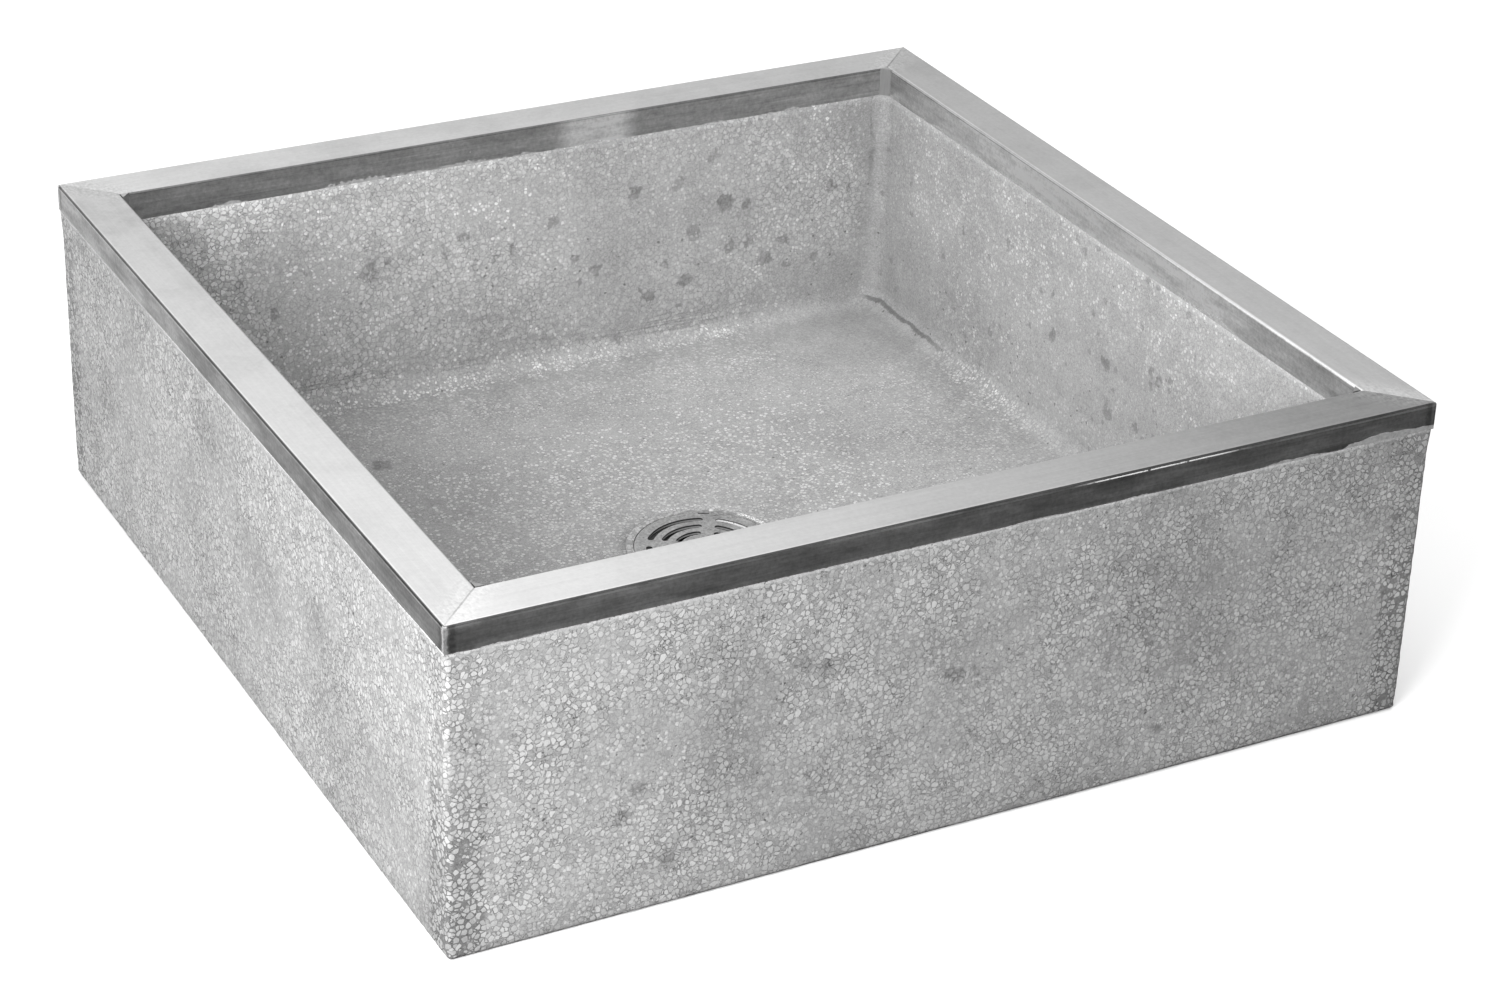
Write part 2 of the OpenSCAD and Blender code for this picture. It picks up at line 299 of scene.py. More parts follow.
def spot_group():
    """One soft round patch with a ragged edge."""
    tree, takes, gives = new_group(
        "spot", [("Place", "Vector", None), ("Centre", "Vector", None), ("Size", "Float", 0.01)],
        [("Mask", "Float")])
    away = measured(tree, "DISTANCE", takes["Place"], takes["Centre"])
    wire(tree, gives["Mask"], fall(tree, maths(tree, "DIVIDE", away, takes["Size"]), 0.65, 1.0))
    return tree


def brushed_group():
    """Fine lines of a brushed finish, run along the x or the y direction, with faint smudges."""
    tree, takes, gives = new_group(
        "brushed_lines",
        [("Place", "Vector", None), ("Along", "Vector", None)],
        [("Line", "Float"), ("Smudge", "Float")])
    stretched = spaced(tree, takes["Place"], takes["Along"])
    fine = cloud(tree, stretched, 1.0, 4.0, 0.6)
    wide = cloud(tree, stretched, 0.21, 2.0, 0.5)
    wire(tree, gives["Line"], plus(tree, times(tree, fine, 0.6), wide, 0.4))
    wire(tree, gives["Smudge"], cloud(tree, takes["Place"], 14.0, 4.0, 0.65))
    return tree


CHIPS = chip_layer_group()
SPOT = spot_group()
BRUSHED = brushed_group()


# ------------------------------------------------------------------ terrazzo

# Chips of three sizes: about how many lie along a metre, the gaps between them, and the share that is there.
PEBBLES = dict(Scale=196.0, Gap=0.01, Share=0.92)
FLECKS = dict(Scale=300.0, Gap=0.03, Share=0.66)
GRIT = dict(Scale=820.0, Gap=0.02, Share=0.40)
# How far the chips' outlines are bent, in metres.
PEBBLE_BEND, FLECK_BEND, PATCH_BEND = 0.0034, 0.0012, 0.024
# Dark filled patches as they lie on the real basin: place and size in metres.
BACK_WALL_PATCHES = [
    (-0.298, 0.186, 0.010), (-0.265, 0.154, 0.007), (-0.228, 0.189, 0.006), (-0.192, 0.162, 0.006),
    (-0.165, 0.180, 0.013), (-0.145, 0.189, 0.007), (-0.083, 0.187, 0.009), (-0.065, 0.199, 0.007),
    (-0.054, 0.166, 0.007), (-0.032, 0.171, 0.006), (-0.013, 0.177, 0.006), (-0.020, 0.198, 0.007),
    (0.012, 0.170, 0.005), (0.034, 0.198, 0.009), (0.058, 0.155, 0.008), (0.080, 0.137, 0.007),
    (0.060, 0.131, 0.007), (0.138, 0.100, 0.010), (0.159, 0.129, 0.006), (0.181, 0.109, 0.008),
    (0.176, 0.081, 0.006), (0.191, 0.160, 0.010), (0.172, 0.215, 0.008), (0.226, 0.186, 0.012),
    (0.249, 0.180, 0.007), (0.233, 0.137, 0.009), (0.255, 0.141, 0.009), (0.273, 0.116, 0.010),
    (0.293, 0.133, 0.008), (0.298, 0.106, 0.006), (0.332, 0.107, 0.007), (0.350, 0.183, 0.008),
    (0.372, 0.181, 0.006), (0.123, 0.215, 0.009), (0.213, 0.240, 0.008), (0.103, 0.056, 0.008),
]
RIGHT_WALL_PATCHES = [
    (0.064, 0.148, 0.008), (-0.041, 0.114, 0.010), (-0.044, 0.142, 0.006), (-0.105, 0.186, 0.006),
    (-0.106, 0.171, 0.006), (-0.119, 0.181, 0.005), (-0.135, 0.187, 0.006), (-0.088, 0.120, 0.006),
    (0.174, 0.102, 0.006), (0.108, 0.143, 0.006), (-0.082, 0.222, 0.005), (-0.029, 0.163, 0.007),
    (0.155, 0.210, 0.007), (0.242, 0.192, 0.005), (0.071, 0.192, 0.006),
]
FRONT_PATCHES = [
    (-0.009, 0.153, 0.010), (0.013, 0.150, 0.007), (-0.294, 0.117, 0.011), (-0.304, 0.095, 0.008),
    (-0.267, 0.047, 0.010), (0.197, 0.048, 0.008), (-0.147, 0.195, 0.006), (-0.129, 0.186, 0.007),
]
FLOOR_PATCHES = [(-0.211, 0.268, 0.012)]
# Places where the cement was smoothed over the chips: centre, reach and how much of the chips still shows.
SMOOTHED = [
    ((0.37, 0.37, 0.04), 0.15, 0.30), ((-0.02, -HALF, 0.06), 0.19, 0.80), ((0.30, -HALF, 0.18), 0.12, 0.92),
    ((0.14, INNER, 0.16), 0.16, 0.50), ((INNER, -0.02, 0.10), 0.16, 0.55),
]


def patch_mask(tree, place):
    """The dark filled patches, soft and ragged at their edges."""
    wobble = put(tree, "ShaderNodeTexNoise", None, Vector=place, Scale=95.0, Detail=3.0).outputs["Color"]
    ragged = bent(tree, place, wobble, PATCH_BEND)
    wall = INNER - LEAN / 2
    centres = [((x, wall, z), size) for x, z, size in BACK_WALL_PATCHES]
    centres += [((wall, y, z), size) for y, z, size in RIGHT_WALL_PATCHES]
    centres += [((x, -HALF, z), size) for x, z, size in FRONT_PATCHES]
    centres += [((x, y, FLOOR_EDGE - 0.002), size) for x, y, size in FLOOR_PATCHES]
    spots = []
    for centre, size in centres:
        moved = tuple(c + PATCH_BEND / 2 for c in centre)
        spots.append(use_group(tree, SPOT, Place=ragged, Centre=moved, Size=size).outputs["Mask"])
    return most(tree, *spots)


def basin_place(tree):
    """A place on the basin: the zone it lies in, and the soft textures that break up the finish there."""
    at = placed(tree)
    near_sides(tree, at)
    at.inside = ramp(tree, at.depth, RIM_WIDTH - 0.005, RIM_WIDTH - 0.003)
    at.outside = rest_of(tree, at.inside)
    at.on_floor = times(tree, fall(tree, at.z, FLOOR_EDGE + 0.002, FLOOR_EDGE + 0.012), at.inside)
    wall_foot = INNER - LEAN
    at.on_right, at.on_back = (ramp(tree, axis, wall_foot - COVE, wall_foot - COVE / 2)
                               for axis in (at.x, at.y))
    at.patches = cloud(tree, at.place, 9.0, 5.0, 0.6)
    at.drifts = cloud(tree, at.place, 3.2, 2.0, 0.5)
    at.mottle = cloud(tree, at.place, 38.0, 4.0, 0.65)
    at.grain = cloud(tree, at.place, 420.0, 3.0, 0.7)
    at.ragged_z = plus(tree, at.z, at.mottle, -0.008)
    wobble = put(tree, "ShaderNodeTexNoise", None, Vector=at.place, Scale=170.0, Detail=2.0).outputs["Color"]
    at.pebble_place = bent(tree, at.place, wobble, PEBBLE_BEND)
    at.fleck_place = bent(tree, at.place, wobble, FLECK_BEND)
    return at


def ground_open(tree, at):
    """How far the pebbles and the flecks have been ground open, 0 to 1, and where the cove is rubbed."""
    under_cap = plus(tree, at.z, at.patches, 0.016)
    by_cap = ramp(tree, under_cap, OUTER_LOW + 0.003, OUTER_LOW + 0.008, 1.0, 0.25)
    ground = times(tree, ramp(tree, at.patches, 0.37, 0.54, 0.28, 1.0), by_cap)
    smooth = blend_number(tree, at.inside, 1.0, ramp(tree, at.corner, 0.060, 0.085, 0.35, 1.0))
    for centre, reach, left in SMOOTHED:
        away = plus(tree, measured(tree, "DISTANCE", at.place, centre), at.patches, reach * 0.9)
        smooth = maths(tree, "MINIMUM", smooth, ramp(tree, away, reach * 0.9, reach * 1.5, left, 1.0))
    rise = minus(tree, at.ragged_z, ramp(tree, at.x, 0.36, 0.38, 0.0, 0.003))
    cove = times(tree, fall(tree, rise, 0.046, 0.051), fall(tree, at.depth, 0.070, 0.080), at.inside,
                 ramp(tree, at.patches, 0.36, 0.50, 0.2, 1.0), smooth)
    left_part = times(tree, ramp(tree, at.x, -0.30, -0.12, 0.35, 0.0), rest_of(tree, at.on_floor))
    open_in = maths(tree, "ADD", times(tree, ramp(tree, at.drifts, 0.38, 0.6, 0.10, 0.52), smooth), left_part)
    open_in = times(tree, open_in, ground, rest_of(tree, cove), less(tree, at.on_floor, 0.8))
    open_in = dimmed(tree, open_in, at.on_right, 0.72)
    pebbles = blend_number(tree, at.inside, times(tree, ground, smooth), open_in)
    flecks = blend_number(tree, at.inside, 0.75, ramp(tree, at.mottle, 0.40, 0.60, 0.30, 1.0))
    off_wall = times(tree, at.on_floor, ramp(tree, at.depth, 0.085, 0.125, 0.55, 1.0))
    flecks = times(tree, most(tree, flecks, off_wall, cove), by_cap, smooth)
    return pebbles, flecks, cove


def chips_in_cement(tree, at, pebbles, flecks, pebbles_open, flecks_open, cove):
    """The tone of the cement film with its flecks, pebbles and grit."""
    film = plus(tree, blend_number(tree, at.inside, 0.268, 0.27), at.drifts, 0.05)
    film = varied(tree, film, at.mottle, blend_number(tree, at.inside, 0.21, 0.14))
    film = varied(tree, film, at.grain, 0.24)
    fleck = times(tree, flecks.outputs["Tone"], flecks.outputs["Tone"])
    spread = plus(tree, blend_number(tree, at.on_floor, 0.40, 0.26), at.on_right, -0.13)
    fleck = stacked(tree, blend_number(tree, at.inside, 0.28, 0.33), (fleck, spread), (cove, 0.12))
    tone = blend_number(tree, times(tree, flecks.outputs["Chip"], flecks_open), film, fleck)
    chip = plus(tree, blend_number(tree, at.inside, 0.345, 0.37), pebbles.outputs["Tone"],
                blend_number(tree, at.inside, 0.20, 0.26))
    chip = varied(tree, chip, at.grain, 0.10)
    tone = blend_number(tree, times(tree, pebbles.outputs["Chip"], pebbles_open), tone, chip)
    outline = most(tree, times(tree, pebbles.outputs["Outline"], pebbles_open, 0.70),
                   times(tree, flecks.outputs["Outline"], flecks_open, 0.32))
    outline = times(tree, outline, ramp(tree, at.mottle, 0.35, 0.60, 1.0, 0.6))
    tone = times(tree, tone, rest_of(tree, outline))
    grit = use_group(tree, CHIPS, Place=at.place, **GRIT)
    return blend_number(tree, times(tree, grit.outputs["Chip"], 0.32), tone, 0.50)


def dark_marks(tree, at):
    """How dark the marks in the cement are, and of these the hollows and the trowel lines by themselves."""
    far, cell = voronoi_cells(tree, at.pebble_place, 58.0)
    stone_edge = stacked(tree, far, (cell[0], -0.26), (at.grain, 0.14))
    stones = times(tree, fall(tree, stone_edge, -0.02, 0.13), maths(tree, "LESS_THAN", cell[1], 0.42),
                   blend_number(tree, at.inside, 0.15, 0.27), ramp(tree, cell[2], 0.0, 1.0, 0.4, 1.0),
                   less(tree, at.on_floor, 0.8))
    filled = times(tree, patch_mask(tree, at.place), ramp(tree, at.mottle, 0.30, 0.65, 0.42, 0.24),
                   blend_number(tree, at.on_right, 1.0, 0.90))
    far, cell = voronoi_cells(tree, at.pebble_place, 105.0)
    pits = times(tree, fall(tree, plus(tree, far, cell[0], -0.11), 0.02, 0.07),
                 maths(tree, "LESS_THAN", cell[1], blend_number(tree, at.on_right, 0.18, 0.40)))
    far, cell = voronoi_cells(tree, at.place, 250.0)
    pores = times(tree, fall(tree, far, 0.12, 0.24), maths(tree, "LESS_THAN", cell[0], 0.11),
                  blend_number(tree, at.inside, 1.0, 0.6))
    hollows = most(tree, pits, pores)

    # Trowel lines low on the back wall, and a crease at the right wall's foot.
    along_wall = cloud(tree, spaced(tree, at.place, (9.0, 9.0, 520.0)), 1.0, 3.0, 0.6)
    trowel_zone = times(tree, band(tree, at.z, 0.050, 0.056, 0.066, 0.085), at.inside, at.on_back,
                        fall(tree, at.x, 0.20, 0.34))
    trowel = times(tree, ramp(tree, along_wall, 0.48, 0.62), trowel_zone, ramp(tree, at.patches, 0.38, 0.56))
    crease = times(tree, band(tree, at.ragged_z, 0.0460, 0.0472, 0.0492, 0.0510), at.on_right, at.inside,
                   ramp(tree, at.y, 0.23, 0.30))

    # Two streaks up the back wall's right end: where each stands, and how far it wanders.
    up_wall = cloud(tree, spaced(tree, at.place, (60.0, 60.0, 30.0)), 1.0, 2.0, 0.6)
    wide, thin = (maths(tree, "ABSOLUTE", plus(tree, minus(tree, at.x, middle), up_wall, wander))
                  for middle, wander in ((0.400, 0.006), (0.388, 0.008)))
    streaks = most(tree, fall(tree, wide, 0.0005, 0.0046), ramp(tree, thin, 0.0003, 0.0040, 0.4, 0.0))
    streaks = times(tree, streaks, at.on_back, at.inside, ramp(tree, up_wall, 0.44, 0.54),
                    ramp(tree, at.z, 0.14, 0.24))
    lines = most(tree, times(tree, streaks, 0.34), times(tree, crease, 0.50))
    dark = most(tree, stones, filled, times(tree, hollows, 0.5), times(tree, trowel, 0.20), lines)
    return dark, hollows, trowel


def drifting_tones_and_painted_light(tree, at):
    """How the tone drifts over the basin, and painted light and shade between its faces.

    The floor is painted darker towards the left, a painted shadow of the left wall, and is lighter towards the
    back. The back wall is painted lighter towards its left, painted light where that wall's shadow falls on it.
    The other inner walls are lighter than the floor, painted light to match the light they get. The outside is
    a little darker towards the right.
    """
    wide = cloud(tree, at.place, 7.0, 3.0, 0.55)
    drift = ramp(tree, wide, 0.28, 0.55, blend_number(tree, at.inside, 0.83, 0.88),
                 blend_number(tree, at.inside, 1.05, 1.03))
    # Painted shadow of the left wall on the floor, and painted light on the back wall's left and on the inner
    # walls.
    floor = times(tree, ramp(tree, at.x, -0.34, 0.0, 0.74, 1.05), ramp(tree, at.y, 0.15, 0.30, 1.0, 1.12))
    wall = blend_number(tree, at.on_back, 1.10, ramp(tree, at.x, -0.40, 0.35, 1.20, 1.00))
    faces = blend_number(tree, at.inside, ramp(tree, at.x, -0.25, 0.0, 1.0, 0.965),
                         blend_number(tree, at.on_floor, wall, floor))
    return drift, faces


def outside_tones_and_painted_edge_highlight(tree, at, tone, pebbles):
    """Darkens the cement low down and near the upright edges' feet, and makes those edges pale in places:
    partly wear, partly a painted highlight on their rounded ease.
    """
    near_corner = plus(tree, at.corner, at.patches, 0.030)
    foot = times(tree, fall(tree, near_corner, 0.044, 0.052), ramp(tree, at.z, 0.10, 0.20, 1.0, 0.45),
                 at.outside, rest_of(tree, pebbles.outputs["Chip"]))
    tone = dimmed(tree, tone, foot, 0.42)
    low_band = times(tree, fall(tree, plus(tree, at.z, at.patches, 0.05), 0.030, 0.062), at.outside)
    tone = dimmed(tree, tone, low_band, 0.10)
    # The upright edges made pale in places: partly wear, partly a painted highlight on the rounded ease.
    wear_and_painted_highlight = fall(tree, plus(tree, at.corner, at.mottle, 0.005), 0.0026, 0.0040)
    return blend_number(tree, times(tree, wear_and_painted_highlight, ramp(tree, at.grain, 0.40, 0.55, 0.1, 0.5)), tone, 0.52)


def terrazzo():
    """Marble chips in grey cement: outside ground open and dense, inside finer and half covered."""
    material, tree, shader = new_material("ground_terrazzo", Specular_IOR_Level=0.35)
    at = basin_place(tree)
    pebbles = use_group(tree, CHIPS, Place=at.pebble_place, **PEBBLES)
    flecks = use_group(tree, CHIPS, Place=at.fleck_place, **FLECKS)
    pebbles_open, flecks_open, cove = ground_open(tree, at)
    tone = chips_in_cement(tree, at, pebbles, flecks, pebbles_open, flecks_open, cove)
    dark, hollows, trowel = dark_marks(tree, at)
    # The faces' tones come in here, with painted light and shade among them.
    tone = times(tree, tone, rest_of(tree, dark), *drifting_tones_and_painted_light(tree, at))
    tone = outside_tones_and_painted_edge_highlight(tree, at, tone, pebbles)
    roughness = ramp(tree, pebbles.outputs["Chip"], 0.0, 1.0, 0.64, 0.50)
    height = times(tree, pebbles.outputs["Chip"], pebbles_open, 0.6)
    height = stacked(tree, height, (times(tree, flecks.outputs["Chip"], flecks_open), 0.3), (hollows, -1.8),
                     (at.grain, 0.4), (trowel, -1.2))
    dress(tree, shader, tone, roughness, height, 0.6, 0.0005)
    return material


# ------------------------------------------------------- steel, cast metal, rubber

def brushed_steel(name, along, tone, rough):
    """Brushed stainless steel with faint smudges."""
    material, tree, shader = new_material(name, Metallic=1.0)
    lines = use_group(tree, BRUSHED, Place=object_place(tree), Along=along)
    line, smudge = lines.outputs["Line"], lines.outputs["Smudge"]
    shade = stacked(tree, tone - 0.08, (line, 0.16), (ramp(tree, smudge, 0.35, 0.75), -0.07))
    roughness = stacked(tree, rough - 0.06, (line, 0.12), (ramp(tree, smudge, 0.45, 0.8), 0.08))
    dress(tree, shader, shade, roughness, line, 0.2, 0.0001)
    return material


def cap_place(tree, along):
    """A place on a rim cap: the side of the fold it lies on, and the textures of the brushed sheet."""
    at = placed(tree)
    sides = near_sides(tree, at)
    at.off_mitre = maths(tree, "ABSOLUTE", minus(tree, *sides))
    at.length = at.x if along[0] < along[1] else at.y
    at.outer = fall(tree, at.depth, 0.020, 0.024)
    at.on_leg = fall(tree, at.z, RIM_TOP - 0.0012, RIM_TOP - 0.0004)
    at.on_top = rest_of(tree, at.on_leg)
    at.below = minus(tree, RIM_TOP, at.z)
    at.above = minus(tree, at.z, blend_number(tree, at.outer, INNER_LOW, OUTER_LOW))
    lines = use_group(tree, BRUSHED, Place=at.place, Along=along)
    at.line, at.smudge = lines.outputs["Line"], lines.outputs["Smudge"]
    at.fine = cloud(tree, at.place, 300.0, 3.0, 0.6)
    at.mottle = cloud(tree, spaced(tree, at.place, (0.35, 0.35, 1.8)), 55.0, 5.0, 0.65)
    return at


def sheet_tone(tree, at, tone, painted_shade_slope, leg_tone, leg_painted_shade_slope, painted_reflection):
    """The sheet, painted darker along a slope, and its legs, streaked and hazed along their length, with a
    painted reflection about one place on them; the slopes are painted shade for the light falling off along
    each cap.
    """
    # Painted shade: the sheet and its leg each darker along a slope, for the light falling off along the cap.
    shade = minus(tree, tone, measured(tree, "DOT_PRODUCT", at.place, painted_shade_slope))
    leg_shade = minus(tree, leg_tone, measured(tree, "DOT_PRODUCT", at.place, leg_painted_shade_slope))
    # A painted reflection on the leg, eased out from one place along it.
    middle, reach, amount = painted_reflection
    painted_reflection_mask = fall(tree, maths(tree, "ABSOLUTE", minus(tree, at.length, middle)), 0.36 * reach, reach)
    shade = blend_number(tree, at.on_leg, shade, plus(tree, leg_shade, painted_reflection_mask, amount))
    shade = varied(tree, shade, at.line, blend_number(tree, at.on_leg, 0.18, 0.50))
    shade = plus(tree, shade, ramp(tree, at.smudge, 0.40, 0.70), -0.05)
    shade = varied(tree, shade, at.fine, 0.13)
    haze = cloud(tree, spaced(tree, at.place, (0.6, 0.48, 1.5)), 24.0, 4.0, 0.6)
    hazy = varied(tree, 1.0, haze, blend_number(tree, at.outer, 0.5, 1.9))
    on_legs = times(tree, varied(tree, 1.0, at.mottle, 1.1), hazy, varied(tree, 1.0, at.fine, 0.5))
    return maths(tree, "MINIMUM", times(tree, shade, blend_number(tree, at.on_leg, 1.0, on_legs)), 0.98)


def folds(tree, at, shade, painted_inner_fold_light):
    """Painted light at the folds: a painted shade line with a painted highlight under it at the outer fold, a
    painted line at the inner fold, and painted shade along the far edge.
    """
    # The outer fold's painted shade line, and the painted highlight under it.
    fold = times(tree, band(tree, at.below, 0.0002, 0.0006, 0.0018, 0.0023), at.outer)
    painted_highlight_under_fold = times(tree, band(tree, at.below, 0.0023, 0.0027, 0.0036, 0.0042), at.outer)
    shade = dimmed(tree, shade, fold, 0.80)
    shade = plus(tree, shade, times(tree, painted_highlight_under_fold, ramp(tree, at.mottle, 0.35, 0.55, 0.3, 1.0)), 0.30)
    # The inner fold's painted line, its brightness going from one value to another along y.
    painted_inner_fold_line = times(tree, band(tree, at.below, 0.0002, 0.0006, 0.0024, 0.0030), rest_of(tree, at.outer))
    shade = times(tree, shade, blend_number(tree, painted_inner_fold_line, 1.0, ramp(tree, at.y, -0.38, 0.02, *painted_inner_fold_light)))
    # Painted shade along the top's far outer edge.
    from_far_side = minus(tree, HALF, most(tree, at.x, at.y))
    return times(tree, shade, ramp(tree, from_far_side, 0.0006, 0.0020, 0.45, 1.0))


def welds(tree, at, shade):
    """A soft seam across the top, darkest at the back right, and a ragged pale strip down each outer corner.

    Adds the welds' masks to the place, for the relief and the roughness."""
    across = maths(tree, "MULTIPLY_ADD", times(tree, at.x, at.y), 1.75, plus(tree, 0.56, at.x, 0.2), clamp=True)
    ragged = plus(tree, at.off_mitre, at.fine, 0.0012)
    at.seam = times(tree, fall(tree, ragged, 0.0010, 0.0024), ramp(tree, at.mottle, 0.35, 0.6, 1.0, 0.5),
                    ramp(tree, at.depth, 0.004, 0.020, 0.5, 1.0), at.on_top, across)
    at.near_weld = times(tree, fall(tree, at.off_mitre, 0.006, 0.040), at.on_top)
    at.scratch = cloud(tree, spaced(tree, at.place, (420.0, 260.0, 60.0)), 1.0, 3.0, 0.55)
    shade = plus(tree, shade, times(tree, minus(tree, at.scratch, 0.45), at.near_weld), 0.42)
    shade = dimmed(tree, shade, at.seam, 0.55)
    from_corner = stacked(tree, at.corner, (at.fine, 0.004), (at.mottle, 0.008))
    at.strip = times(tree, fall(tree, from_corner, 0.0086, 0.0100), at.on_leg,
                     ramp(tree, at.x, 0.20, 0.40, 1.0, 0.12))
    pocket = times(tree, band(tree, from_corner, 0.0100, 0.0112, 0.0135, 0.018), at.on_leg)
    shade = dimmed(tree, shade, pocket, 0.40)
    shade = blend_number(tree, times(tree, at.strip, 0.8), shade, plus(tree, 0.20, at.fine, 1.4))
    pale_seam = times(tree, fall(tree, ragged, 0.0006, 0.0016), at.on_top, ramp(tree, at.x, 0.30, 0.42),
                      fall(tree, at.y, -0.42, -0.30))
    far, cell = voronoi_cells(tree, at.place, 70.0)
    nicks = times(tree, fall(tree, far, 0.03, 0.09), maths(tree, "LESS_THAN", cell[0], 0.10), at.on_leg)
    return stacked(tree, shade, (pale_seam, 0.22), (nicks, 0.30))


def lit_stretch(tree, at, start, end):
    """1 between two places along a cap, eased over 40 mm at both ends."""
    return band(tree, at.length, start, start + 0.04, end - 0.04, end)


def lower_edges(tree, at, shade, fold_line, edge_line, edge_shine, smear, smear_from):
    """Painted highlights on the cut edge and fold, where they catch the light in places, and the cement left
    along the edges.

    Adds the masks of the painted highlight lines and of the cement to the place."""
    # A painted highlight along the cut edge, broken by a texture.
    edge = times(tree, ramp(tree, at.above, 0.0009, 0.0013, 0.55, 0.0), ramp(tree, at.fine, 0.35, 0.5),
                 at.outer)
    shade = blend_number(tree, edge, shade, 0.95)
    # Painted highlights along the cut edge and under the fold, shown between two places along the cap; these
    # are not metal.
    thick = ramp(tree, at.corner, 0.03, 0.10, 0.0014, 0.0004)
    painted_edge_highlight = times(tree, fall(tree, minus(tree, at.above, thick), 0.0, 0.0004), at.outer,
                      lit_stretch(tree, at, *edge_line), edge_shine)
    painted_fold_highlight = times(tree, band(tree, at.below, 0.0022, 0.0025, 0.0033, 0.0036), at.outer,
                      lit_stretch(tree, at, *fold_line))
    at.pale = times(tree, most(tree, painted_edge_highlight, painted_fold_highlight), ramp(tree, at.fine, 0.36, 0.46))
    shade = blend_number(tree, at.pale, shade, 0.80)
    ragged = times(tree, minus(tree, at.fine, 0.5), blend_number(tree, at.outer, 0.009, 0.0022))
    left_on = varied(tree, ragged, cloud(tree, at.place, 16.0, 3.0, 0.55), smear, middle=0.55)
    step = ramp(tree, plus(tree, at.x, at.mottle, 0.03), smear_from, smear_from + 0.012)
    left_on = plus(tree, left_on, times(tree, step, at.outer), 0.0036)
    at.cement = fall(tree, minus(tree, at.above, left_on), -0.0004, 0.0003)
    return blend_number(tree, at.cement, shade, plus(tree, 0.12, at.fine, 0.34))


# A place far off every cap, where a line or a smear doesn't show.
NOWHERE = 9.0
NO_LINE = (NOWHERE - 1.0, NOWHERE)


def cap_steel(name, along, tone, painted_shade_slope, leg_tone, leg_painted_shade_slope, painted_reflection=(NOWHERE, 0.05, 0.0),
              painted_inner_fold_light=(1.0, 1.0), fold_line=NO_LINE, edge_line=NO_LINE, edge_shine=1.0,
              smear=0.014, smear_from=NOWHERE):
    """A rim cap's brushed steel, with its folds, ground welds, scratches and the cement left along its edges.

    The sheet and its leg are painted darker along a slope each, painted shade for the light falling off
    along the cap. The leg can carry a painted reflection about a place along it, over a reach and by an
    amount. Its inner fold is a painted line whose brightness goes from one value to another along y. The
    painted highlights at its outer fold and edge show between two places. The cement drifts up and down by
    the smear, and is higher past a place along x."""
    material, tree, shader = new_material(name)
    at = cap_place(tree, along)
    shade = sheet_tone(tree, at, tone, painted_shade_slope, leg_tone, leg_painted_shade_slope, painted_reflection)
    shade = folds(tree, at, shade, painted_inner_fold_light)
    shade = welds(tree, at, shade)
    shade = lower_edges(tree, at, shade, fold_line, edge_line, edge_shine, smear, smear_from)
    roughness = stacked(tree, 0.27, (at.line, 0.14), (ramp(tree, at.smudge, 0.45, 0.8), 0.08),
                        (most(tree, at.near_weld, at.strip), 0.12), (at.cement, 0.25))
    height = stacked(tree, at.line, (times(tree, at.scratch, at.near_weld), 0.8),
                     (most(tree, at.strip, at.cement), 3.0), (at.seam, -2.0), (at.mottle, 6.0))
    wire(tree, shader.inputs["Metallic"], rest_of(tree, most(tree, at.cement, at.pale)))
    dress(tree, shader, shade, roughness, height, 0.25, 0.00012)
    return material


def drain_place(tree):
    """A place on the drain, with its distance from the middle."""
    at = placed(tree)
    at.radius = measured(tree, "LENGTH", spaced(tree, at.place, (1.0, 1.0, 0.0)))
    return at


def bearing(tree, at, degrees):
    """How nearly a place lies in one direction from the drain's middle: 1 where it does."""
    turn = math.radians(degrees)
    towards = plus(tree, times(tree, at.y, math.sin(turn)), at.x, math.cos(turn))
    return maths(tree, "DIVIDE", towards, maths(tree, "ADD", at.radius, 0.0001))


